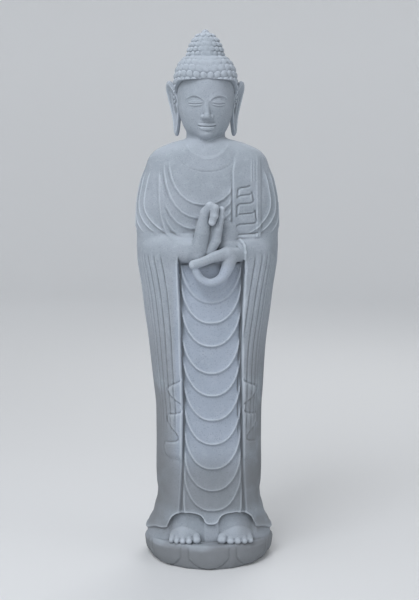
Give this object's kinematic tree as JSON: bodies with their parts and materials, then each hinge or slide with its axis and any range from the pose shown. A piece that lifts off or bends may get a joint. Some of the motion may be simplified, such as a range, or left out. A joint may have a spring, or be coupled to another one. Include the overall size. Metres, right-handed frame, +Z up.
{
  "type": "standing buddha statue",
  "caption": "Carved stone figure of a standing Buddha in a draped robe, hands raised before the chest, on a low round lotus plinth.",
  "frame": {"origin": "middle of the flat underside of the plinth, at the middle of the bounding box seen from above", "axes": "+Z up along the figure; the figure faces -Y; +X is the viewer's right"},
  "size_m": [0.4076, 0.3454, 1.4994],
  "materials": {
    "grey_stone": "matt, finely pitted volcanic stone"
  },
  "bodies": {
    "root": {"standing_buddha": "grey_stone"}
  },
  "joints": []
}
